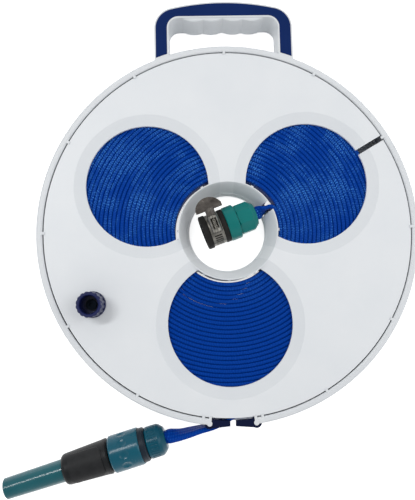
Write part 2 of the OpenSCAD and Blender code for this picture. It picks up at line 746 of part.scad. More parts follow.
module nozzle_body() {
    groove_s = s_collar + claw_s - 0.3;
    seal_s = s_body_end + nipple_len - 5;
    color("#3c3c3e") along_nozzle() difference() {
        turned([
            [tube_r + run, s_body], [body_at(s_body) - 2.6, s_body], [body_at(s_body) - 1.1, s_body + 0.5],
            [body_at(s_body) - 0.3, s_body + 1.5], [body_at(s_body + 3), s_body + 3],
            [body_r, s_body_end - 4.6], [body_r + 0.2, s_body_end - 3.6], [body_r + 0.3, s_body_end - 1.6],
            [body_r - 1.2, s_body_end], [nipple_r, s_body_end],
            [nipple_r, groove_s], [nipple_r - 1.2, groove_s], [nipple_r - 1.2, groove_s + claw_w + 0.6],
            [nipple_r, groove_s + claw_w + 0.6], [nipple_r, seal_s], [nipple_r - 1.4, seal_s],
            [nipple_r - 1.4, seal_s + 1.7], [nipple_r, seal_s + 1.7],
            [nipple_r, s_body_end + nipple_len - 1], [nipple_r - 1, s_body_end + nipple_len],
            [water_r, s_body_end + nipple_len], [water_r, s_web + 4], [0, s_web + 4], [0, s_web],
            [tube_r + run, s_web]
        ]);
        translate([0, 0, s_web - 1]) cylinder(r = 1.6, h = 6);
        ring_of(6) translate([3.1, 0, s_web - 1]) cylinder(r = 1.1, h = 6, $fn = 24);
    }
}

module jet_pin() {
    color("#8a8c90") along_nozzle() turned([
        [0, s_body - 25.6], [1, s_body - 25.6], [2.2, s_body - 21.4], [2.2, s_web], [1.6, s_web],
        [1.6, s_web + 4], [0, s_web + 4]
    ]);
}

module nozzle_seal() {
    color("#161616") along_nozzle() translate([0, 0, s_body_end + nipple_len - 4.15])
        rotate_extrude() translate([nipple_r - 0.68, 0]) circle(0.7, $fn = 24);
}

module nozzle_grip() {
    s0 = s_body + 6.6;
    s1 = s_body_end - 5.6;
    w = grip_w / 2;
    color("#47474a") along_nozzle() for (a = [0, 180]) rotate([0, 0, a]) intersection() {
        turned([
            [body_at(s0), s0], [body_at(s0) + grip_t, s0], [body_at(s1) + grip_t, s1], [body_at(s1), s1]
        ]);
        rotate([90, 0, 90]) linear_extrude(body_r + 5) polygon([
            [-w, s0 + 3], [-w + 3, s0], [w - 3, s0], [w, s0 + 3], [w, s1 - 3], [w - 3, s1], [-w + 3, s1], [-w, s1 - 3]
        ]);
    }
}

// Quick connector
module connector_body() {
    color("#3a3638") along_nozzle() difference() {
        turned([
            [nipple_r + run, s_collar + 0.3], [stem_r, s_collar + 0.3], [stem_r, s_shoulder],
            [neck_r - 1, s_shoulder], [neck_r, s_shoulder + 0.6], [neck_r, s_neck_end - 1.6],
            [neck_r - 1.4, s_neck_end], [thread_r, s_neck_end], [thread_r, s_nut + 10.4],
            [water_r, s_nut + 10.4], [water_r, s_collar + nipple_len + 1], [nipple_r + run, s_collar + nipple_len]
        ]);
        ring_of(3) sector(nipple_r - 1, stem_r + 1, s_collar + claw_s - slip, s_collar + claw_s + claw_w + slip, 44);
    }
}

module lock_claws() {
    color("#d8dadc") along_nozzle() ring_of(3)
        sector(nipple_r - 1.05, stem_r - 0.05, s_collar + claw_s, s_collar + claw_s + claw_w, 42);
}

module lock_collar() {
    skirt = s_shoulder - collar_travel - 0.5;
    color("#1c6a72") along_nozzle() difference() {
        turned([
            [stem_r + run, s_collar], [collar_r - 1, s_collar], [collar_r, s_collar + 1.2],
            [collar_r, s_collar_end - 1.2], [collar_r - 0.5, s_collar_end], [neck_r + 0.3, s_collar_end],
            [neck_r + 0.3, skirt], [stem_r + 2.9, skirt], [stem_r + 2.9, s_collar + 9], [stem_r + run, s_collar + 9]
        ]);
        ring_of(10) translate([collar_r + 7.9, 0, s_collar + 13]) sphere(r = 9, $fn = 64);
    }
}

module collar_spring() {
    wire = 0.55;
    coils = 5;
    s0 = s_collar + 9 + wire;
    s1 = s_shoulder - wire;
    n = coils * 12;
    mid_r = stem_r + 1.45;
    color("#b9babb") along_nozzle() sweep([
        for (i = [0:n]) let (a = i * 30, c = polar(mid_r, a)) [
            for (k = [0:5]) [c[0], c[1], mix(s0, s1, i / n)]
                + wire * [cos(a) * cos(k * 60), sin(a) * cos(k * 60), sin(k * 60)]
        ]
    ], 6);
}

module connector_nut() {
    color("#1c6870") along_nozzle() difference() {
        turned([
            [thread_r + slip, s_nut], [nut_r - 0.8, s_nut], [nut_r, s_nut + 1], [nut_r, s_nut_end - 5.5],
            [nut_r - 1, s_nut_end - 3.4], [nut_r - 4, s_nut_end - 0.4], [nut_r - 4.6, s_nut_end],
            [hose_bore, s_nut_end], [hose_bore, s_seat], [water_r + 0.2, s_seat],
            [water_r + 0.2, s_nut + 10.6], [thread_r + slip, s_nut + 10.6]
        ]);
        ring_of(30) translate([nut_r + 0.25, 0, s_nut + 2.5]) cylinder(r = 0.6, h = 7, $fn = 16);
    }
}

placed() ring_frame();
placed() handle_inlay();
placed() exit_jaw_left();
placed() exit_jaw_right();
placed() front_flange();
placed() rear_flange();
placed() hub_drum();
placed() knob_pin();
placed() crank_knob();
placed() hose_coil();
placed() hose_tail();
placed() tap_boot();
placed() tap_body();
placed() tap_nut();
placed() clamp_band();
placed() clamp_housing();
placed() worm_screw();
placed() thumb_key();
placed() nozzle_barrel();
placed() barrel_seal();
placed() nozzle_body();
placed() jet_pin();
placed() nozzle_seal();
placed() nozzle_grip();
placed() connector_body();
placed() lock_claws();
placed() lock_collar();
placed() collar_spring();
placed() connector_nut();
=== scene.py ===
"""Looks of the flat hose reel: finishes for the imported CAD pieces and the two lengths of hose."""

import math

import bmesh
import bpy
from mathutils import Matrix, Quaternion, Vector


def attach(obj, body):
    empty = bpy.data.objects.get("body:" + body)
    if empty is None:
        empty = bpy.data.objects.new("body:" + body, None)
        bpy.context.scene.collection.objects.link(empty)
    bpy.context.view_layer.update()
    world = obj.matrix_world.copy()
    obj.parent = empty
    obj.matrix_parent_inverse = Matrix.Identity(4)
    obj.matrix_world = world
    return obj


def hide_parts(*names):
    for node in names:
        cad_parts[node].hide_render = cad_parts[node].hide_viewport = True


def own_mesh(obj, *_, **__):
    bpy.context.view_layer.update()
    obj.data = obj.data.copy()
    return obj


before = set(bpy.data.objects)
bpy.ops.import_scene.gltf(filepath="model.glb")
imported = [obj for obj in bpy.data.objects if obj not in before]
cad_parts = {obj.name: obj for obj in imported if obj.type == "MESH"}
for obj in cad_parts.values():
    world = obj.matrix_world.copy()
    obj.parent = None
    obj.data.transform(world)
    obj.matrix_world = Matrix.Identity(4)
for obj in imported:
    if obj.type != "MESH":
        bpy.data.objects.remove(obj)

bl_info = {
    "name": "Flat hose reel",
    "version": (1, 0, 0),
    "blender": (4, 5, 0),
    "location": "3D View > Sidebar > Hose reel",
    "description": "Dresses the packed hose reel and winds its flat hose",
    "category": "Object",
}

MM = 0.001

# Sizes of the part, in millimetres about the spool axis
RING_R = 172.4
WALL_T = 3.0
HANDLE_R = 215.2
HALF_EXIT = 20.5
HOOK_R = 4.65
POST_Y = -math.sqrt((RING_R - WALL_T / 2) ** 2 - HALF_EXIT**2)
MID_Y = (HANDLE_R + POST_Y - HOOK_R) / 2
DRUM_R = 44.1
DRUM_IN = 42.0
GAP_ANGLE = 30.0
WINDOW_R = 55.6
WINDOW_C = 83.7
WINDOW_ANGLES = (30, 150, 270)
SLOPE_W = 10.9

# Tap connector and nozzle, each along its own axis, with the depth of the hose's seat in its nut
SEAT_DEPTH = 3.3
TAP_AT = (-22.3, -1.4)
TAP_ANGLE = 20.0
TAP_Z = 16.3
TAP_END = 51.0
TAP_SEAT = TAP_END - SEAT_DEPTH
NOZ_AT = (-200.0, -223.5)
NOZ_ANGLE = 16.0
NOZ_Z = 16.3
NUT_END = 146.0
NUT_SEAT = NUT_END - SEAT_DEPTH
SPRING_START = 105.5
SPRING_END = 117.5
COLLAR_TRAVEL = 4.0

# How the hose lies: its height, its distance off the drum, its bend into the gap of the drum
HOSE_Z = 15.0
LAY = 1.5
INNER_BEND = 3.5

# Stations on one turn, first where the way onto the drum is planned and then in the mesh
PLAN_STEPS = 24
TURN_STEPS = 72
# Points round the hose, and stations between two planned points of each length of hose
PROFILE_POINTS = 20
INLET_SPAN = 5
TAIL_SPAN = 8

# The laid-flat outline: share of its width that is straight, size and bluntness of its folds
STRAIGHT_SHARE = 0.62
FOLD_SHARE = 0.75
FOLD_POWER = 0.7

# Length of one crossing of the braid along the hose and around it, in metres
BRAID_ALONG = 0.0046
BRAID_AROUND = 0.0052

# The camera of the photograph: its place in mm about the spool axis, the turn that tips it
# as an axis whose length is the angle in radians, and its roll in degrees
CAMERA_SPOT = (-25.894, -65.897, 519.70)
CAMERA_TIP = (-0.09584, 0.01633, -0.02105)
CAMERA_ROLL = -2.408

# The free end of the hose lies on these points
TAIL_ROUTE = [
    (96, -110), (82, -121), (66, -130), (52, -138), (37, -145), (22, -153.5), (8, -161.5),
    (0, -166), (-6, -169.6), (-11, -172.2), (-16, -174.3), (-21, -175.7), (-28, -176.9),
    (-38, -179.2), (-47, -181.2),
]
# Up to this point it stands on edge
TAIL_FLAT = 10


# ---------------------------------------------------------------- small maths


def at(x, y, z):
    """A point of the part, from millimetres about the spool axis to metres in the row frame."""
    return Vector((x * MM, (y - MID_Y) * MM, z * MM))


def polar(radius, degrees):
    """A point in plan, from its radius and angle."""
    angle = math.radians(degrees)
    return Vector((radius * math.cos(angle), radius * math.sin(angle)))


def mix(a, b, t):
    """The value that lies the share t of the way from a to b."""
    return a + (b - a) * t


def ease(t):
    """A share from 0 to 1 that starts and ends softly."""
    t = min(1.0, max(0.0, t))
    return t * t * (3 - 2 * t)


def linear(red, green, blue):
    """A colour read as eight-bit screen values, as the shader wants it."""
    def channel(value):
        value /= 255
        return value / 12.92 if value <= 0.04045 else ((value + 0.055) / 1.055) ** 2.4
    return (channel(red), channel(green), channel(blue), 1.0)


# ---------------------------------------------------------------- finishes


class Wire:
    """One socket of a finish. Python's operators on it add Math nodes."""

    def __init__(self, finish, socket):
        self.finish, self.socket = finish, socket

    def maths(self, operation, *values, clamp=False):
        """One Math node."""
        settings = {"operation": operation, "use_clamp": clamp}
        return self.finish.add("ShaderNodeMath", settings, dict(enumerate(values)))

    def __add__(self, other):
        return self.maths("ADD", self, other)

    def __radd__(self, other):
        return self.maths("ADD", other, self)

    def __sub__(self, other):
        return self.maths("SUBTRACT", self, other)

    def __rsub__(self, other):
        return self.maths("SUBTRACT", other, self)

    def __mul__(self, other):
        return self.maths("MULTIPLY", self, other)

    def __pow__(self, other):
        return self.maths("POWER", self, other)

    def sine(self):
        """Its sine, in radians."""
        return self.maths("SINE", self)

    def held(self):
        """The value kept between 0 and 1."""
        return self.maths("ADD", self, 0.0, clamp=True)


class Finish:
    """A material with one Principled shader, built up node by node."""

    def __init__(self, name, **fixed):
        self.material = bpy.data.materials.new(name)
        self.material.use_nodes = True
        self.tree = self.material.node_tree
        self.tree.nodes.clear()
        output = self.tree.nodes.new("ShaderNodeOutputMaterial")
        self.shader = self.tree.nodes.new("ShaderNodeBsdfPrincipled")
        self.tree.links.new(self.shader.outputs[0], output.inputs["Surface"])
        for socket, value in fixed.items():
            self.shader.inputs[socket.replace("_", " ")].default_value = value

    def add(self, kind, settings=None, inputs=None, out=0):
        """Adds a node: its settings first, then the values or links of its sockets."""
        node = self.tree.nodes.new(kind)
        for name, value in (settings or {}).items():
            setattr(node, name, value)
        for name, value in (inputs or {}).items():
            self.join(node.inputs[name], value)
        return Wire(self, node.outputs[out])

    def join(self, socket, value):
        """Links a wire to the socket, or gives it a plain value."""
        if isinstance(value, Wire):
            self.tree.links.new(value.socket, socket)
        else:
            socket.default_value = value

    def set(self, socket, value):
        """Sets or links a socket of the shader."""
        self.join(self.shader.inputs[socket], value)

    def place(self, scale=(1, 1, 1), turn=(0, 0, 0)):
        """Coordinates in metres, scaled and turned."""
        raw = self.add("ShaderNodeTexCoord", out="Object")
        return self.add("ShaderNodeMapping", {"vector_type": "POINT"},
                        {"Vector": raw, "Scale": scale, "Rotation": turn})

    def noise(self, where, scale, detail=3.0, rough=0.5, distortion=0.0):
        """Cloudy noise between 0 and 1."""
        return self.add("ShaderNodeTexNoise", {"noise_dimensions": "3D"},
                        {"Vector": where, "Scale": scale, "Detail": detail,
                         "Roughness": rough, "Distortion": distortion})

    def blend(self, share, first, second):
        """A colour between two others."""
        inputs = {0: share, 6: first, 7: second}
        return self.add("ShaderNodeMix", {"data_type": "RGBA"}, inputs, out=2)

    def relief(self, height, depth, strength=1.0):
        """A bump of the given depth in metres."""
        inputs = {"Height": height, "Distance": depth, "Strength": strength}
        return self.add("ShaderNodeBump", inputs=inputs)

    def axes(self, vector):
        """The three parts of a vector."""
        split = self.tree.nodes.new("ShaderNodeSeparateXYZ")
        self.join(split.inputs[0], vector)
        return [Wire(self, socket) for socket in split.outputs]


def moulded(name, colour, shade, rough, grain=0.00002, **fixed):
    """Injection-moulded plastic: a faint cloudiness, a fine grain and a few rubbed places."""
    finish = Finish(name, **fixed)
    where = finish.place()
    cloud = finish.noise(where, 26.0, 3.0, 0.55)
    fine = finish.noise(where, 2200.0, 2.0, 0.6)
    rubbed = finish.noise(where, 95.0, 5.0, 0.7, 0.6)
    wear_and_glint = ((rubbed - 0.56) * 6.0).held()
    finish.colour = finish.blend((cloud * 1.6 - 0.3).held(), shade, colour)
    finish.set("Base Color", finish.colour)
    finish.set("Roughness", (rough + (cloud - 0.5) * 0.12 + wear_and_glint * 0.075).held())
    finish.set("Normal", finish.relief(fine + cloud * 0.4, grain))
    return finish


def white_plastic(name, colour, shade):
    """The white of the ring and the discs, with little gloss."""
    return moulded(name, colour, shade, 0.42, 0.000012, Specular_IOR_Level=0.3)


def disc_plastic():
    """The discs' white, with painted shade on the slopes round the three windows."""
    finish = white_plastic("disc_plastic", linear(234, 237, 240), linear(228, 232, 236))
    x, y, _ = finish.axes(finish.place())
    slopes = None
    for degrees in WINDOW_ANGLES:
        centre = at(*polar(WINDOW_C, degrees), 0)
        across, upward = x - centre.x, y - centre.y
        away = (across * across + upward * upward) ** 0.5
        slope = (((WINDOW_R + SLOPE_W) * MM - away) * 1600.0).held()
        slopes = slope if slopes is None else slopes.maths("MAXIMUM", slopes, slope)
    # Painted shade: the colour is multiplied darker on the slopes round the windows
    painted_slope_shade = finish.add("ShaderNodeMix", {"data_type": "RGBA", "blend_type": "MULTIPLY"},
                        {0: slopes, 6: finish.colour, 7: (0.92, 0.925, 0.93, 1)}, out=2)
    finish.set("Base Color", painted_slope_shade)
    return finish


def milky_plastic():
    """The drum's translucent white."""
    return moulded("drum_plastic", linear(214, 222, 226), linear(204, 213, 218), 0.42)


def braided_hose(name, blue, deep, bright):
    """Lay-flat hose: blue film over a crossed braid. U runs along it and V around it, in metres."""
    finish = Finish(name, Specular_IOR_Level=0.04)
    laid_out = finish.add("ShaderNodeTexCoord", out="UV")
    along, round_, _ = finish.axes(laid_out)
    along = along + (finish.noise(laid_out, 70.0, 2.0) - 0.5) * 0.008
    pitch, thread = 2 * math.pi / BRAID_ALONG, 2 * math.pi / BRAID_AROUND
    one = (along * pitch + round_ * thread).sine()
    two = (along * pitch - round_ * thread).sine()
    braid = ((one * two) * 0.5 + 0.5).held()
    where = finish.place()
    patch = (finish.noise(where, 34.0, 3.0, 0.6) * 0.5
             + finish.noise(laid_out, 42.0, 4.0, 0.7) * 0.5)
    # Painted highlight: the threads show bright in patches, on the side of the reel that lies towards the
    # handle, where the lamps catch them
    wear_and_glint = ((patch - 0.46) * 7.0).held() * ((finish.axes(where)[1] + 0.09) * 10.0).held()
    spark = ((finish.noise(laid_out, 380.0, 1.0) - 0.34) * 4.0).held()
    base = finish.blend(braid ** 1.3, deep, blue)
    # Painted highlight on the tops of the threads: faint everywhere, strong in the patches
    painted_glint = ((braid ** 5.0) * (wear_and_glint * spark * 2.4 + 0.08)).held()
    finish.set("Base Color", finish.blend(painted_glint, base, bright))
    finish.set("Roughness", 0.42 + wear_and_glint * 0.12 - braid * 0.08)
    finish.set("Normal", finish.relief(braid + patch * 0.6, 0.00030, 0.8))
    return finish


def rubber(name, colour, pale, rough=0.62):
    """Rubber with a pale bloom and a fine grit."""
    finish = Finish(name, Specular_IOR_Level=0.25)
    where = finish.place()
    bloom = finish.noise(where, 140.0, 5.0, 0.65)
    grit = finish.noise(where, 2600.0, 2.0, 0.5)
    finish.set("Base Color", finish.blend(((bloom - 0.42) * 2.4).held(), colour, pale))
    finish.set("Roughness", rough + (bloom - 0.5) * 0.25)
    finish.set("Normal", finish.relief(grit + bloom, 0.00004))
    return finish


def steel(name, colour, shade, rough, turn, grain=(30.0, 30.0, 4200.0)):
    """Rolled or turned steel with fine lines across one direction."""
    finish = Finish(name, Metallic=1.0)
    lines = finish.noise(finish.place(grain, turn), 1.0, 3.0, 0.7)
    stain = finish.noise(finish.place(), 160.0, 4.0, 0.6)
    finish.set("Base Color", finish.blend(((stain - 0.35) * 2.0).held(), shade, colour))
    finish.set("Roughness", (rough + (stain - 0.5) * 0.22 + (lines - 0.5) * 0.16).held())
    finish.set("Normal", finish.relief(lines, 0.00002))
    return finish


def smoky_plastic():
    """The thumb key's dark plastic, which lets a little light through."""
    finish = Finish("key_plastic", Transmission_Weight=0.2, IOR=1.45, Coat_Weight=0.2,
                    Coat_Roughness=0.1)
    where = finish.place()
    haze = finish.noise(where, 130.0, 4.0, 0.6)
    dark, light = linear(58, 52, 48), linear(120, 114, 108)
    finish.set("Base Color", finish.blend(((haze - 0.3) * 1.8).held(), dark, light))
    finish.set("Roughness", 0.24 + (haze - 0.5) * 0.2)
    finish.set("Normal", finish.relief(haze, 0.00008))
    return finish


FINISHES = {}


def make_finishes():
    """One finish for each slot, and those that single pieces have of their own."""
    nozzle_turn = (0, 0, math.radians(-NOZ_ANGLE))
    FINISHES.update({
        "disc_plastic": disc_plastic(),
        "ring_plastic": white_plastic("ring_plastic", linear(226, 229, 232), linear(220, 224, 228)),
        "drum_plastic": milky_plastic(),
        "navy_inlay": moulded("navy_inlay", linear(16, 42, 98), linear(12, 36, 88), 0.5, 0.00003,
                              Specular_IOR_Level=0.08),
        # Painted shade: the jaws are the inlay's navy plastic, painted darker for where they sit at the
        # exit mouth
        "navy_jaw": moulded("navy_jaw", linear(14, 24, 58), linear(10, 18, 48), 0.45, 0.00003,
                            Specular_IOR_Level=0.1),
        "knob_plastic": moulded("knob_plastic", linear(14, 27, 84), linear(9, 17, 60), 0.3, 0.00003,
                                Specular_IOR_Level=0.4),
        # The pins' near-black is partly a blackened finish and partly painted shade for the depth of the
        # knob's cup
        "pin_steel": steel("pin_steel", (0.012, 0.016, 0.024, 1), (0.007, 0.010, 0.015, 1), 0.6, (0, 0, 0)),
        "boot_rubber": rubber("boot_rubber", linear(24, 23, 22), linear(40, 38, 36)),
        "tap_teal": moulded("tap_teal", linear(8, 124, 120), linear(5, 110, 108), 0.3, 0.00003,
                            Specular_IOR_Level=0.28),
        "clamp_steel": steel("clamp_steel", (0.46, 0.44, 0.40, 1), (0.16, 0.155, 0.14, 1), 0.36,
                             (0, 0, math.radians(-TAP_ANGLE)), (4200.0, 40.0, 40.0)),
        "key_plastic": smoky_plastic(),
        # Painted light: the barrel is the nozzle's teal, painted lighter
        "lit_barrel_teal": moulded("lit_barrel_teal", linear(22, 98, 108), linear(16, 82, 92), 0.2, 0.00002,
                               Specular_IOR_Level=0.45),
        "nozzle_teal": moulded("nozzle_teal", linear(6, 90, 110), linear(4, 78, 98), 0.24, 0.00002,
                               Specular_IOR_Level=0.35),
        # Painted shade: the nut is the nozzle's teal, painted darker
        "shaded_nut_teal": moulded("shaded_nut_teal", linear(4, 82, 102), linear(3, 72, 92), 0.28, 0.00002,
                            Specular_IOR_Level=0.25),
        "nozzle_grey": moulded("nozzle_grey", linear(32, 34, 36), linear(24, 26, 28), 0.42, 0.00004,
                               Specular_IOR_Level=0.2),
        "connector_grey": moulded("connector_grey", linear(30, 42, 54), linear(24, 34, 44), 0.42, 0.00004,
                                  Specular_IOR_Level=0.2),
        "soft_grip": rubber("soft_grip", linear(28, 29, 31), linear(42, 43, 45), 0.55),
        "claw_plastic": moulded("claw_plastic", linear(222, 224, 226), linear(212, 214, 216), 0.4),
        "seal_rubber": rubber("seal_rubber", linear(18, 18, 18), linear(30, 30, 30), 0.45),
        "spring_steel": steel("spring_steel", (0.52, 0.52, 0.52, 1), (0.4, 0.4, 0.4, 1), 0.25, nozzle_turn),
    })


def dress(node, slot, finish=None):
    """Gives a CAD node its finish, which is the slot's own unless another is named."""
    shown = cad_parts[node]
    shown.data.materials.clear()
    shown.data.materials.append(FINISHES[finish or slot].material)


# ---------------------------------------------------------------- hose


def strip_profile(half_width, half_thick, count, roundness):
    """Outline of the hose about its centre, from a flat strip at roundness 0 to an ellipse at 1."""
    fold = half_thick * FOLD_SHARE
    straight = half_width - fold
    points = []
    for k in range(count):
        angle = 2 * math.pi * k / count
        across, along_z = math.sin(angle), math.cos(angle)
        reach = min(1.0, abs(along_z) / STRAIGHT_SHARE)
        past = max(0.0, (abs(along_z) - STRAIGHT_SHARE) / (1 - STRAIGHT_SHARE)) * math.pi / 2
        flat_z = math.copysign(straight * reach + fold * math.sin(past), along_z)
        flat_n = 0.0
        if abs(across) > 1e-6:
            flat_n = math.copysign(half_thick * max(0.0, math.cos(past)) ** FOLD_POWER, across)
        points.append((mix(flat_z, half_width * along_z, roundness),
                       mix(flat_n, half_thick * across, roundness)))
    return points


def tube(name, stations, profiles):
    """A closed tube through the stations, each a centre with its sideways and upward directions."""
    rings, count = len(stations), len(profiles[0])
    bm = bmesh.new()
    bmesh.ops.create_grid(bm, x_segments=rings - 1, y_segments=count, size=1.0, calc_uvs=True)
    uv = bm.loops.layers.uv.verify()
    lengths, total = [0.0], 0.0
    for a, b in zip(stations, stations[1:]):
        total += (b[0] - a[0]).length
        lengths.append(total)
    girth = 0.0
    for k in range(count):
        a, b = profiles[-1][k], profiles[-1][(k + 1) % count]
        girth += math.hypot(a[0] - b[0], a[1] - b[1])
    index = {}
    for v in bm.verts:
        i = round((v.co.x + 1) / 2 * (rings - 1))
        k = round((v.co.y + 1) / 2 * count)
        index[v.index] = (i, k)
    for face in bm.faces:
        face.smooth = True
        for loop in face.loops:
            i, k = index[loop.vert.index]
            loop[uv].uv = (lengths[i], girth * k / count)
    for v in bm.verts:
        i, k = index[v.index]
        centre, sideways, upward = stations[i]
        rise, out = profiles[i][k % count]
        v.co = centre + upward * rise + sideways * out
    bmesh.ops.remove_doubles(bm, verts=bm.verts, dist=1e-7)
    open_edges = [e for e in bm.edges if e.is_boundary]
    bmesh.ops.holes_fill(bm, edges=open_edges, sides=0)
    bmesh.ops.recalc_face_normals(bm, faces=bm.faces)
    mesh = bpy.data.meshes.new(name)
    bm.to_mesh(mesh)
    bm.free()
    piece = bpy.data.objects.new(name, mesh)
    bpy.context.scene.collection.objects.link(piece)
    return piece


def run_along(points):
    """Directions of travel at each point."""
    dirs = []
    for i in range(len(points)):
        a, b = points[max(0, i - 1)], points[min(len(points) - 1, i + 1)]
        dirs.append((b - a).normalized())
    return dirs


def through(points, per_span, skip_last=False):
    """A smooth line through the points, or up to the last but one, which it leaves towards the last."""
    line = []
    for i in range(len(points) - 1):
        p0, p1 = points[max(0, i - 1)], points[i]
        p2, p3 = points[i + 1], points[min(len(points) - 1, i + 2)]
        for step in range(per_span):
            t = step / per_span
            line.append(0.5 * ((2 * p1) + (p2 - p0) * t + (2 * p0 - 5 * p1 + 4 * p2 - p3) * t * t
                               + (3 * p1 - p0 - 3 * p2 + p3) * t**3))
    line.append(points[-1].copy())
    return line[:-per_span] if skip_last else line


def strip(name, knots):
    """The hose through the knots, each a place in mm with the width, thickness, roundness
    and tilt that it has there."""
    places = [at(*knot[:3]) for knot in knots]
    stations, profiles = [], []
    for place, direction, knot in zip(places, run_along(places), knots):
        width, thick, roundness, tilt = knot[3:]
        turned = Matrix.Rotation(math.radians(tilt), 3, direction)
        sideways = Vector((-direction.y, direction.x, 0)).normalized()
        stations.append((place, turned @ sideways, turned @ Vector((0, 0, 1))))
        profiles.append([(z * MM, n * MM) for z, n in strip_profile(
            width / 2, thick / 2, PROFILE_POINTS, min(1.0, max(0.0, roundness)))])
    return tube(name, stations, profiles), [station[0] for station in stations]


def winding_start(hose):
    """Plan of the hose from the tap connector through the gap in the drum, with the radius
    and lead angle where its first turn begins."""
    coil_r = (DRUM_R + LAY + hose.thickness / 2) / math.cos(math.pi / PLAN_STEPS)
    bend_r = hose.thickness / 2 + INNER_BEND
    lead = math.degrees(math.asin(bend_r / (coil_r - bend_r)))
    arc_c = polar(coil_r - bend_r, -lead)
    gap = Matrix.Rotation(math.radians(GAP_ANGLE), 2)
    tap_dir = polar(1, TAP_ANGLE)
    start = [Vector(TAP_AT) + tap_dir * s for s in (TAP_SEAT, TAP_END, TAP_END + 3.2)]
    start += [gap @ Vector((x, arc_c[1] + bend_r)) for x in (DRUM_IN - 4, arc_c[0])]
    start += [gap @ (arc_c + polar(bend_r, a - lead * (1 - a / 90))) for a in (72, 48, 24)]
    return start, coil_r, lead


# ---------------------------------------------------------------- settings


class HoseSettings(bpy.types.PropertyGroup):
    width: bpy.props.FloatProperty(
        name="Width", description="Width of the hose laid flat, in mm", default=19.0)
    thickness: bpy.props.FloatProperty(
        name="Thickness", description="Thickness laid flat, in mm", default=3.8)
    diameter: bpy.props.FloatProperty(
        name="Round", description="Diameter in a fitting, in mm", default=11.2)
    pitch: bpy.props.FloatProperty(
        name="Pitch", description="From one turn to the next, in mm", default=3.86)
    turns: bpy.props.FloatProperty(
        name="Turns", description="Turns on the spool", default=24.25)
    waver: bpy.props.FloatProperty(
        name="Waver", description="How unevenly the turns lie, in mm", default=0.3)
    blue: bpy.props.FloatVectorProperty(
        name="Blue", description="Film of the hose", subtype="COLOR", size=4,
        min=0, max=1, default=linear(0, 64, 164))
    deep: bpy.props.FloatVectorProperty(
        name="Deep", description="Between the threads", subtype="COLOR", size=4,
        min=0, max=1, default=linear(0, 54, 146))
    # Bright is the colour of the painted highlight on the threads
    bright: bpy.props.FloatVectorProperty(
        name="Bright", description="On the threads", subtype="COLOR", size=4,
        min=0, max=1, default=linear(90, 172, 252))


class StageSettings(bpy.types.PropertyGroup):
    floor: bpy.props.FloatVectorProperty(
        name="Floor", description="Colour of the floor", subtype="COLOR", size=4,
        min=0, max=1, default=(0.92, 0.92, 0.92, 1))
    floor_light: bpy.props.FloatProperty(
        name="Floor light", description="Brightness the camera adds to the floor", default=0.75)
    sky: bpy.props.FloatProperty(
        name="Sky", description="Strength of the soft light all round", default=1.38)
    zenith: bpy.props.FloatProperty(
        name="Zenith", description="Share of that light straight above", default=0.25)
    key: bpy.props.FloatProperty(
        name="Key", description="Power of the main lamp, in watts", default=6.0)
    lens: bpy.props.FloatProperty(
        name="Lens", description="Focal length, in mm", default=39.6)


# ---------------------------------------------------------------- operators


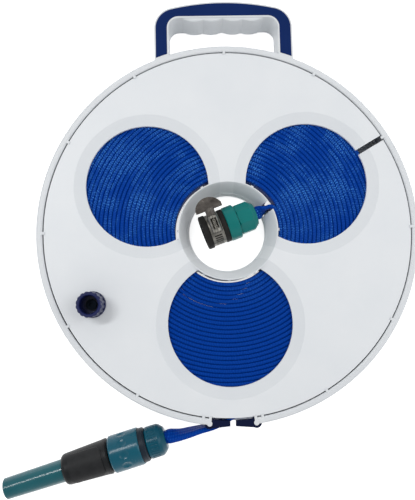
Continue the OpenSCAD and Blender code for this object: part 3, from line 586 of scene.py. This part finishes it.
class HOSEREEL_OT_stage(bpy.types.Operator):
    """Floor, light and the camera of the photograph"""
    bl_idname = "hosereel.stage"
    bl_label = "Stage"

    def execute(self, context):
        stage = context.scene.hosereel_stage
        bm = bmesh.new()
        bmesh.ops.create_grid(bm, x_segments=4, y_segments=4, size=3.0)
        mesh = bpy.data.meshes.new("floor")
        bm.to_mesh(mesh)
        bm.free()
        floor = bpy.data.objects.new("floor", mesh)
        floor.data.transform(Matrix.Translation((0, 0, -0.0002)))
        context.scene.collection.objects.link(floor)
        finish = Finish("floor_paper", Roughness=0.9, Specular_IOR_Level=0.1)
        mottle = finish.noise(finish.place(), 3.0, 2.0)
        finish.set("Base Color", finish.blend(mottle, tuple(stage.floor), (0.9, 0.9, 0.9, 1)))
        rays = finish.tree.nodes.new("ShaderNodeLightPath")
        seen = (Wire(finish, rays.outputs["Is Camera Ray"]) + Wire(finish, rays.outputs["Is Glossy Ray"])
                + Wire(finish, rays.outputs["Is Transmission Ray"])).held()
        finish.shader.inputs["Emission Color"].default_value = (1, 1, 1, 1)
        finish.set("Emission Strength", seen * stage.floor_light)
        floor.data.materials.append(finish.material)

        # A room that is bright all round and dim straight above, so that faces turned up
        # keep their colour
        world = bpy.data.worlds.new("soft_room")
        context.scene.world = world
        world.use_nodes = True
        nodes, links = world.node_tree.nodes, world.node_tree.links
        height = nodes.new("ShaderNodeSeparateXYZ")
        links.new(nodes.new("ShaderNodeTexCoord").outputs["Generated"], height.inputs[0])
        ramp = nodes.new("ShaderNodeValToRGB")
        for place, level in ((0.0, 0.7), (0.35, 1.0), (0.8, 0.95), (0.93, stage.zenith),
                             (1.0, stage.zenith)):
            if place in (0.0, 1.0):
                element = ramp.color_ramp.elements[int(place)]
            else:
                element = ramp.color_ramp.elements.new(place)
            element.position, element.color = place, (level, level, level, 1)
        links.new(height.outputs["Z"], ramp.inputs[0])
        sky = nodes["Background"]
        links.new(ramp.outputs["Color"], sky.inputs["Color"])
        sky.inputs["Strength"].default_value = stage.sky

        # The main lamp is a strip that lies along the nozzle, so that its streak runs
        # along the barrel. Each lamp has its place and size in metres, power and turn.
        for name, place, size, power, turn in (
            ("key_lamp", (-0.7, 0.32, 1.3), (0.62, 0.11), stage.key, NOZ_ANGLE),
            ("fill_lamp", (0.9, 0.15, 1.1), (1.0, 0.8), stage.key * 0.75, 0),
        ):
            lamp = bpy.data.lights.new(name, "AREA")
            lamp.shape, lamp.size, lamp.size_y, lamp.energy = "RECTANGLE", size[0], size[1], power
            stand = bpy.data.objects.new(name, lamp)
            back = Vector(place).normalized()
            side = polar(1, turn).to_3d()
            side = (side - back * side.dot(back)).normalized()
            stand.matrix_world = Matrix((side, back.cross(side), back)).transposed().to_4x4()
            stand.location = place
            context.scene.collection.objects.link(stand)

        lens = bpy.data.cameras.new("camera")
        lens.lens, lens.sensor_width, lens.sensor_fit = stage.lens, 36.0, "AUTO"
        lens.clip_start, lens.clip_end = 0.02, 20
        camera = bpy.data.objects.new("camera", lens)
        context.scene.collection.objects.link(camera)
        tip = Vector(CAMERA_TIP)
        turned = Quaternion(tip.normalized(), tip.length).to_matrix()
        roll = Matrix.Rotation(math.radians(CAMERA_ROLL), 3, "Z")
        spot = roll @ Vector(CAMERA_SPOT)
        camera.matrix_world = (roll @ turned.transposed()).to_4x4()
        camera.location = at(*spot)
        context.scene.camera = camera
        context.scene.view_settings.view_transform = "Standard"
        return {"FINISHED"}


class HOSEREEL_OT_case(bpy.types.Operator):
    """Finishes of the frame, the handle, the jaws and the spool"""
    bl_idname = "hosereel.case"
    bl_label = "Case and spool"

    def execute(self, context):
        for node, *names in (
            ("ring_frame", "white_plastic", "ring_plastic"),
            ("front_flange", "white_plastic", "disc_plastic"),
            ("rear_flange", "white_plastic", "disc_plastic"),
            ("hub_drum", "drum_plastic"), ("handle_inlay", "navy_inlay"),
            ("exit_jaw_left", "navy_jaw"), ("exit_jaw_right", "navy_jaw"),
            ("crank_knob", "knob_plastic"), ("knob_pin", "pin_steel"),
        ):
            dress(node, *names)
        return {"FINISHED"}


class HOSEREEL_OT_winding(bpy.types.Operator):
    """The hose on the spool, wound on edge from the tap connector outwards"""
    bl_idname = "hosereel.winding"
    bl_label = "Winding"

    def execute(self, context):
        hose = context.scene.hosereel_hose
        start, coil_r, lead = winding_start(hose)
        # Height, width, thickness, roundness and tilt of the hose at each planned point
        on_edge = (HOSE_Z, hose.width, hose.thickness, 0, 0)
        shapes = [(TAP_Z, hose.diameter, hose.diameter, 1, -52)] * 2
        shapes += [(TAP_Z - 0.3, 15.5, 7.0, 1, -44), (HOSE_Z + 0.3, 18.6, 4.2, 0.1, -13)]
        shapes += [on_edge] * (len(start) + 2 - len(shapes))
        plan = start + [polar(coil_r, GAP_ANGLE - lead - k * 360 / PLAN_STEPS) for k in (0, 1)]
        knots = [Vector((*p, *shape)) for p, shape in zip(plan, shapes)]
        knots = through(knots, INLET_SPAN, skip_last=True)
        for i in range(1, int(round(TURN_STEPS * hose.turns)) + 1):
            turn = i / TURN_STEPS
            flat = polar(coil_r + hose.pitch * turn, GAP_ANGLE - lead - turn * 360)
            # Two slow waves that don't repeat with the turns
            wave = math.sin(turn * 5.1 + 1.3) * 0.6 + math.sin(turn * 13.7) * 0.4
            rise = hose.waver * wave * min(1, turn)
            knots.append(Vector((*flat, *on_edge)) + Vector((0, 0, rise, 0, 0, 0, 0)))
        piece, _ = strip("wound_hose", knots)
        piece.data.materials.append(FINISHES["hose"].material)
        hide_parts("hose_coil")
        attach(piece, "spool")
        return {"FINISHED"}


class HOSEREEL_OT_free_hose(bpy.types.Operator):
    """The free end of the hose, from inside the ring out to the nut of the quick connector"""
    bl_idname = "hosereel.free_hose"
    bl_label = "Free hose"

    def execute(self, context):
        hose = context.scene.hosereel_hose
        nozzle_dir = polar(1, NOZ_ANGLE)
        plan = [Vector(p) for p in TAIL_ROUTE]
        plan += [Vector(NOZ_AT) + nozzle_dir * s for s in (NUT_END + 4, NUT_END, NUT_SEAT)]
        # Width, thickness, roundness and tilt: on edge between the jaws, then twisted towards
        # flat and pressed round in the nut
        shapes = [(hose.width, hose.thickness, 0, 0)] * (TAIL_FLAT + 1)
        shapes += [(19.0, 4.0, 0, 0), (18.8, 4.1, 0, -3), (18.4, 4.3, 0.1, -10),
                   (17.4, 5.2, 0.4, -17), (15.5, 7.0, 1, -37)]
        shapes += [(hose.diameter, hose.diameter, 1, -45)] * 2
        knots = [Vector((*p, mix(HOSE_Z, NOZ_Z, ease((i - TAIL_FLAT) / 3)), *shape))
                 for i, (p, shape) in enumerate(zip(plan, shapes))]
        piece, path = strip("free_hose", through(knots, TAIL_SPAN))
        piece.data.materials.append(FINISHES["hose"].material)
        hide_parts("hose_tail")
        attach(piece, "frame")
        length = sum((b - a).length for a, b in zip(path, path[1:]))
        return {"FINISHED"}


class HOSEREEL_OT_tap(bpy.types.Operator):
    """Finishes of the tap connector in the hub"""
    bl_idname = "hosereel.tap"
    bl_label = "Tap connector"

    def execute(self, context):
        for node, slot in (
            ("tap_boot", "boot_rubber"), ("tap_body", "tap_teal"), ("tap_nut", "tap_teal"),
            ("clamp_band", "clamp_steel"), ("clamp_housing", "clamp_steel"), ("worm_screw", "clamp_steel"),
            ("thumb_key", "key_plastic"),
        ):
            dress(node, slot)
        return {"FINISHED"}


class HOSEREEL_OT_nozzle(bpy.types.Operator):
    """Finishes of the nozzle and the quick connector"""
    bl_idname = "hosereel.nozzle"
    bl_label = "Nozzle"

    def execute(self, context):
        for node, *names in (
            ("nozzle_barrel", "nozzle_teal", "lit_barrel_teal"), ("lock_collar", "nozzle_teal"),
            ("connector_nut", "nozzle_teal", "shaded_nut_teal"), ("nozzle_body", "nozzle_grey"),
            ("connector_body", "nozzle_grey", "connector_grey"), ("nozzle_grip", "soft_grip"),
            ("barrel_seal", "seal_rubber"), ("nozzle_seal", "seal_rubber"), ("jet_pin", "pin_steel"),
            ("lock_claws", "claw_plastic"), ("collar_spring", "spring_steel"),
        ):
            dress(node, *names)
        # The spring gets a mesh of its own
        nozzle_dir = polar(1, NOZ_ANGLE)
        shoulder = Vector(NOZ_AT) + nozzle_dir * SPRING_END
        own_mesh(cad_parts["collar_spring"], "collar_slide", axis=(*nozzle_dir, 0),
                  anchor=tuple(at(*shoulder, NOZ_Z)), keep=1 - COLLAR_TRAVEL / (SPRING_END - SPRING_START))
        return {"FINISHED"}


class HOSEREEL_PT_panel(bpy.types.Panel):
    """The reel's settings and the steps that make it"""
    bl_idname = "HOSEREEL_PT_panel"
    bl_label = "Hose reel"
    bl_space_type = "VIEW_3D"
    bl_region_type = "UI"
    bl_category = "Hose reel"

    def draw(self, context):
        for group in (context.scene.hosereel_hose, context.scene.hosereel_stage):
            box = self.layout.box()
            for name in group.__annotations__:
                box.prop(group, name)
        for operator in OPERATORS:
            self.layout.operator(operator.bl_idname)


OPERATORS = (
    HOSEREEL_OT_stage, HOSEREEL_OT_case, HOSEREEL_OT_winding, HOSEREEL_OT_free_hose, HOSEREEL_OT_tap,
    HOSEREEL_OT_nozzle,
)
CLASSES = (HoseSettings, StageSettings, *OPERATORS, HOSEREEL_PT_panel)


def register():
    """Adds the classes and the settings to Blender."""
    for cls in CLASSES:
        bpy.utils.register_class(cls)
    bpy.types.Scene.hosereel_hose = bpy.props.PointerProperty(type=HoseSettings)
    bpy.types.Scene.hosereel_stage = bpy.props.PointerProperty(type=StageSettings)


def unregister():
    """Takes them away again."""
    del bpy.types.Scene.hosereel_stage
    del bpy.types.Scene.hosereel_hose
    for cls in reversed(CLASSES):
        bpy.utils.unregister_class(cls)


def main():
    register()
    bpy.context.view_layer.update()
    make_finishes()
    hose = bpy.context.scene.hosereel_hose
    FINISHES["hose"] = braided_hose("hose", tuple(hose.blue), tuple(hose.deep), tuple(hose.bright))
    bpy.ops.hosereel.stage()
    bpy.ops.hosereel.case()
    bpy.ops.hosereel.winding()
    bpy.ops.hosereel.free_hose()
    bpy.ops.hosereel.tap()
    bpy.ops.hosereel.nozzle()


if __name__ == "__main__":
    main()
